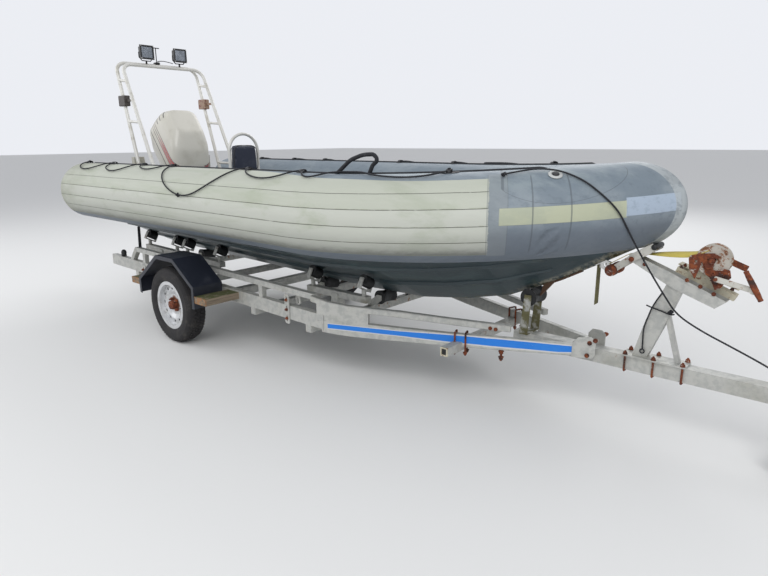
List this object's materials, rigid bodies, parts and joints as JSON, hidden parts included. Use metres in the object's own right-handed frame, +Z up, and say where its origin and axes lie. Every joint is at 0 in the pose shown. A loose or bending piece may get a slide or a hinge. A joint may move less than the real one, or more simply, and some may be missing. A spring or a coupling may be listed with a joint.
{
  "type": "rigid inflatable boat on trailer",
  "caption": "Rigid inflatable boat with tilted outboard, seat pod and arch, strapped by its winch on a galvanised roller trailer parked on its jockey wheel.",
  "frame": {"origin": "middle of the whole outfit's box, on the ground", "axes": "+X along the keel to the bow and the towing coupling, +Y to port, +Z up"},
  "size_m": [6.5428, 2.0046, 2.34],
  "materials": {
    "black_plastic": "moulded",
    "bow_fabric": "satin weathered coated fabric",
    "collar_fabric": "satin weathered coated fabric",
    "cowl_white": "aged gloss paint",
    "deck_gel": "non-slip gelcoat",
    "engine_cast": "painted casting",
    "galvanised": "weathered galvanising",
    "guard_plastic": "moulded",
    "hull_gel": "weathered gelcoat",
    "lamp_black": "moulded",
    "pod_gel": "gelcoat",
    "prop_metal": "worn",
    "rim_silver": "silver paint",
    "roller_rubber": "black",
    "rope_black": "braided rope",
    "rusty_steel": "rusty",
    "stainless": "polished tube",
    "tyre": "worn rubber",
    "vinyl": "navy marine vinyl",
    "webbing": "woven strap"
  },
  "bodies": {
    "boat_and_trailer": {"collar_port": "collar_fabric", "collar_starboard": "collar_fabric", "collar_bow": "bow_fabric", "grab_line_starboard": "rope_black", "grab_line_port": "rope_black", "painter": "rope_black", "lifting_handle": "black_plastic", "hull": "hull_gel", "deck": "deck_gel", "transom": "deck_gel", "bow_eye": "stainless", "seat_pod": "pod_gel", "seat_cushion": "vinyl", "steering_column": "black_plastic", "backrest_hoop": "stainless", "backrest_pad": "vinyl", "arch_front": "stainless", "arch_rear": "stainless", "arch_rungs": "stainless", "floodlights": "lamp_black", "sidelights": "lamp_black", "clamp_bracket": "engine_cast", "rail_lower_starboard": "galvanised", "rail_upper_starboard": "galvanised", "front_rail_starboard": "galvanised", "mudguard_starboard": "guard_plastic", "rail_lower_port": "galvanised", "rail_upper_port": "galvanised", "front_rail_port": "galvanised", "mudguard_port": "guard_plastic", "drawbar": "galvanised", "cross_members": "galvanised", "axle_beam": "galvanised", "suspension_arms": "galvanised", "mudguard_bars": "rusty_steel", "roller_carriers": "galvanised", "hull_rollers": "roller_rubber", "winch_post": "galvanised", "snubber": "rusty_steel", "winch": "rusty_steel", "winch_strap": "webbing", "tie_down": "rope_black", "coupling": "galvanised", "jockey_clamp": "galvanised"},
    "steering_wheel": {"steering_wheel": "black_plastic"},
    "swivel": {"swivel_bracket": "engine_cast"},
    "engine": {"outboard_leg": "engine_cast", "outboard_cowl": "cowl_white", "gearcase": "engine_cast"},
    "propeller": {"propeller": "prop_metal"},
    "wheel_starboard": {"tyre_starboard": "tyre", "rim_starboard": "rim_silver", "hub_starboard": "rusty_steel"},
    "wheel_port": {"tyre_port": "tyre", "rim_port": "rim_silver", "hub_port": "rusty_steel"},
    "jockey_tube": {"jockey_tube": "galvanised"},
    "jockey_leg": {"jockey_leg": "galvanised"},
    "jockey_fork": {"jockey_fork": "galvanised"},
    "jockey_wheel": {"jockey_wheel": "tyre"}
  },
  "joints": [
    {"name": "wheel_starboard", "type": "hinge", "parent": "boat_and_trailer", "child": "wheel_starboard", "pos_m": [-1.0039, -0.84, 0.289], "axis": [0, 1, 0], "continuous": true},
    {"name": "wheel_port", "type": "hinge", "parent": "boat_and_trailer", "child": "wheel_port", "pos_m": [-1.0039, 0.84, 0.289], "axis": [0, 1, 0], "continuous": true},
    {"name": "jockey_lift", "type": "slide", "parent": "boat_and_trailer", "child": "jockey_tube", "axis": [0, 0, 1], "range_m": [0, 0.04]},
    {"name": "jockey_extend", "type": "slide", "parent": "jockey_tube", "child": "jockey_leg", "axis": [0, 0, 1], "range_m": [-0.18, 0.02]},
    {"name": "jockey_swivel", "type": "hinge", "parent": "jockey_leg", "child": "jockey_fork", "pos_m": [2.8761, -0.095, 0.242], "axis": [0, 0, 1], "continuous": true},
    {"name": "jockey_wheel", "type": "hinge", "parent": "jockey_fork", "child": "jockey_wheel", "pos_m": [2.8341, -0.095, 0.1], "axis": [0, 1, 0], "continuous": true},
    {"name": "outboard_tilt", "type": "hinge", "parent": "boat_and_trailer", "child": "swivel", "pos_m": [-2.3589, 0, 1.03], "axis": [0, 1, 0], "range_deg": [-53, 12]},
    {"name": "outboard_steer", "type": "hinge", "parent": "swivel", "child": "engine", "pos_m": [-2.4251, 0, 1.11785], "axis": [0.7986, 0, 0.6018], "range_deg": [-28, 28]},
    {"name": "propeller", "type": "hinge", "parent": "engine", "child": "propeller", "pos_m": [-3.14571, 0, 0.94421], "axis": [0.6018, 0, -0.7986], "continuous": true},
    {"name": "steering_wheel", "type": "hinge", "parent": "boat_and_trailer", "child": "steering_wheel", "pos_m": [-0.7189, 0, 1.1], "axis": [-0.9063, 0, 0.4226], "range_deg": [-337, 337]}
  ],
  "couplings": [
    {"joint": "steering_wheel", "follows": "outboard_steer", "ratio": -12}
  ]
}
